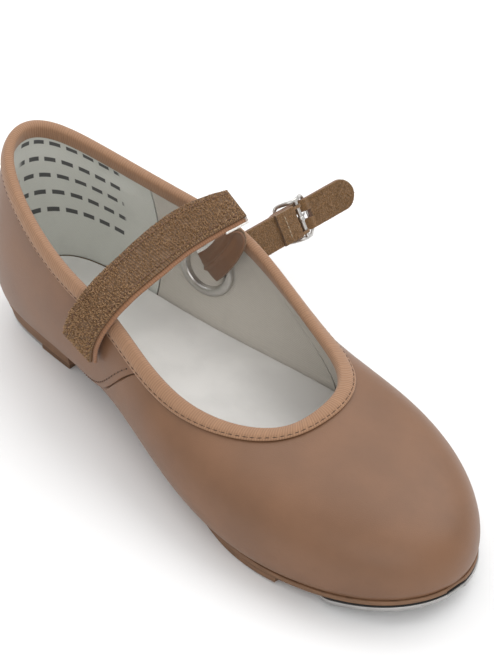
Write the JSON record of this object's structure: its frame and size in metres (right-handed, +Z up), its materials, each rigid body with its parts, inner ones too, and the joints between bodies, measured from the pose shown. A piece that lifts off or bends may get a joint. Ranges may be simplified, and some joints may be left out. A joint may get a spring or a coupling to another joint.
{
  "type": "tap shoe",
  "caption": "Child's low-heeled Mary Jane tap shoe with metal toe and heel taps, a hook-tape instep band, and a buckled strap through an eyelet.",
  "frame": {"origin": "on the ground under the heel, on the heel top piece just in front of the heel tap", "axes": "+X towards the toe, +Y towards the outer side of the foot, +Z up; a left shoe"},
  "size_m": [0.2214, 0.1431, 0.0742],
  "materials": {
    "tan_leather": "smooth semi-matt",
    "tan_sole": "matt, stained edge",
    "tan_web": "ribbed tape",
    "hook_tan": "hook tape",
    "loop_tan": "brushed loop pile",
    "cotton": "twill",
    "sock": "smooth padded",
    "fibreboard": "matt",
    "spring_steel": "brushed",
    "tap_metal": "polished",
    "bright_metal": "polished",
    "tan_rubber": "matt",
    "black_rubber": "matt"
  },
  "bodies": {
    "shoe": {"vamp": "tan_leather", "medial_quarter": "tan_leather", "lateral_quarter": "tan_leather", "back_stay": "tan_leather", "vamp_lining": "cotton", "medial_lining": "cotton", "lateral_lining": "cotton", "heel_lining": "cotton", "heel_counter": "fibreboard", "toe_puff": "fibreboard", "topline_binding": "tan_web", "insole_board": "fibreboard", "sock_liner": "sock", "shank": "spring_steel", "bottom_filler": "fibreboard", "outsole": "tan_sole", "sole_patch": "tan_sole", "heel_block": "tan_sole", "heel_top_piece": "tan_rubber", "heel_tap": "tap_metal", "heel_tap_screws": "spring_steel", "heel_nails": "spring_steel", "toe_tap": "tap_metal", "toe_tap_shim": "black_rubber", "toe_tap_screws": "spring_steel", "eyelet": "bright_metal", "eyelet_washer": "bright_metal", "band_backing": "tan_web", "hook_tape": "hook_tan", "strap_tail": "tan_leather"},
    "strap": {"buckle_strap": "tan_leather", "strap_loop_face": "loop_tan", "billet": "tan_leather", "billet_loop_face": "loop_tan"},
    "buckle": {"buckle_frame": "bright_metal"},
    "prong": {"buckle_prong": "bright_metal"}
  },
  "joints": [
    {"name": "strap_fold", "type": "hinge", "parent": "shoe", "child": "strap", "pos_m": [0.035, 0.0386, 0.0328], "axis": [0.5446, 0, -0.8387], "range_deg": [-45, 85]},
    {"name": "buckle_tilt", "type": "hinge", "parent": "strap", "child": "buckle", "pos_m": [0.03538, 0.0736, 0.03305], "axis": [0.5446, 0, -0.8387], "range_deg": [-5, 5]},
    {"name": "prong_swing", "type": "hinge", "parent": "buckle", "child": "prong", "pos_m": [0.03538, 0.0736, 0.03305], "axis": [-0.5446, 0, 0.8387], "range_deg": [0, 58]}
  ]
}
